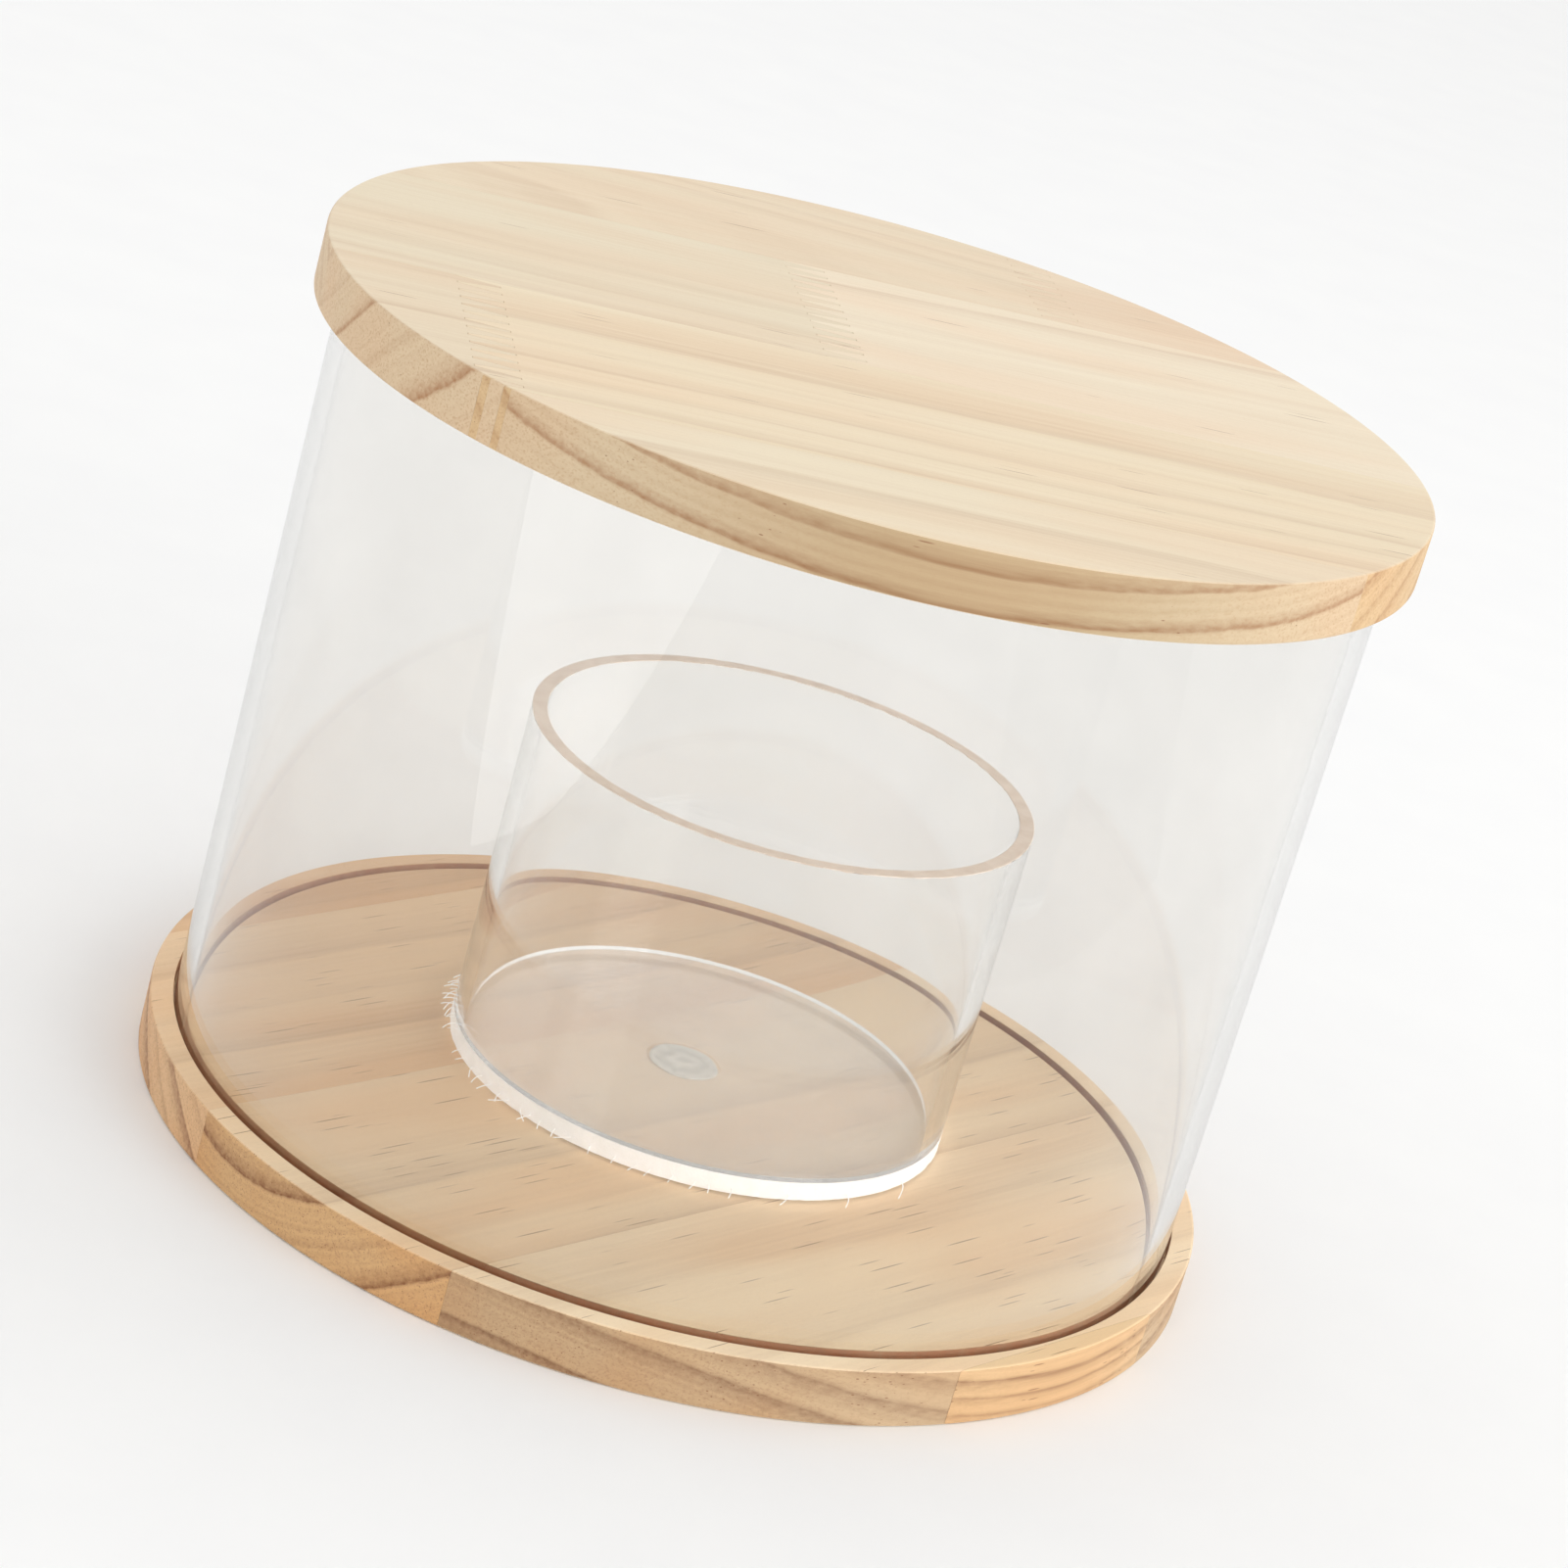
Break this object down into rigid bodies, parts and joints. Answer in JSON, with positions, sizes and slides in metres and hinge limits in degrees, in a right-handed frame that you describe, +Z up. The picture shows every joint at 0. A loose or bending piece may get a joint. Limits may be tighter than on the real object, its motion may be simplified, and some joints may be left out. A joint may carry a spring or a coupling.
{
  "type": "lidded display cover",
  "caption": "Clear round cover standing in a groove in a round wooden base, with a lift-off wooden lid and a small clear open cup inside.",
  "frame": {"origin": "centre of the base's underside", "axes": "+Z up, along the line that the lid, the cover and the cup lift along; -Y towards the front, +X to the right"},
  "size_m": [0.21, 0.21, 0.1645],
  "materials": {
    "base_pine": "sanded, unvarnished",
    "lid_pine": "sanded, unvarnished",
    "lid_pine_warm": "sanded, unvarnished",
    "cover_acrylic": "clear, polished",
    "cup_acrylic": "clear, polished",
    "cup_floor_acrylic": "clear faces with a matt white sawn edge",
    "gel": "soft, cloudy"
  },
  "bodies": {
    "base": {"base_stave_1": "base_pine", "base_stave_2": "base_pine", "base_stave_3": "base_pine", "base_stave_4": "base_pine", "base_stave_5": "base_pine"},
    "cover": {"cover_tube": "cover_acrylic"},
    "lid": {"lid_stave_1": "lid_pine", "lid_stave_2_left": "lid_pine", "lid_stave_2_right": "lid_pine_warm", "lid_stave_3_left": "lid_pine", "lid_stave_3_right": "lid_pine_warm", "lid_stave_4_left": "lid_pine", "lid_stave_4_right": "lid_pine_warm"},
    "cup": {"cup_tube": "cup_acrylic", "cup_floor": "cup_floor_acrylic", "cup_gel_dot": "gel"}
  },
  "joints": [
    {"name": "cover_lift", "type": "slide", "parent": "base", "child": "cover", "axis": [0, 0, 1], "range_m": [0, 0.09]},
    {"name": "lid_lift", "type": "slide", "parent": "cover", "child": "lid", "axis": [0, 0, 1], "range_m": [0, 0.08]},
    {"name": "cup_lift", "type": "slide", "parent": "base", "child": "cup", "axis": [0, 0, 1], "range_m": [0, 0.07]}
  ]
}
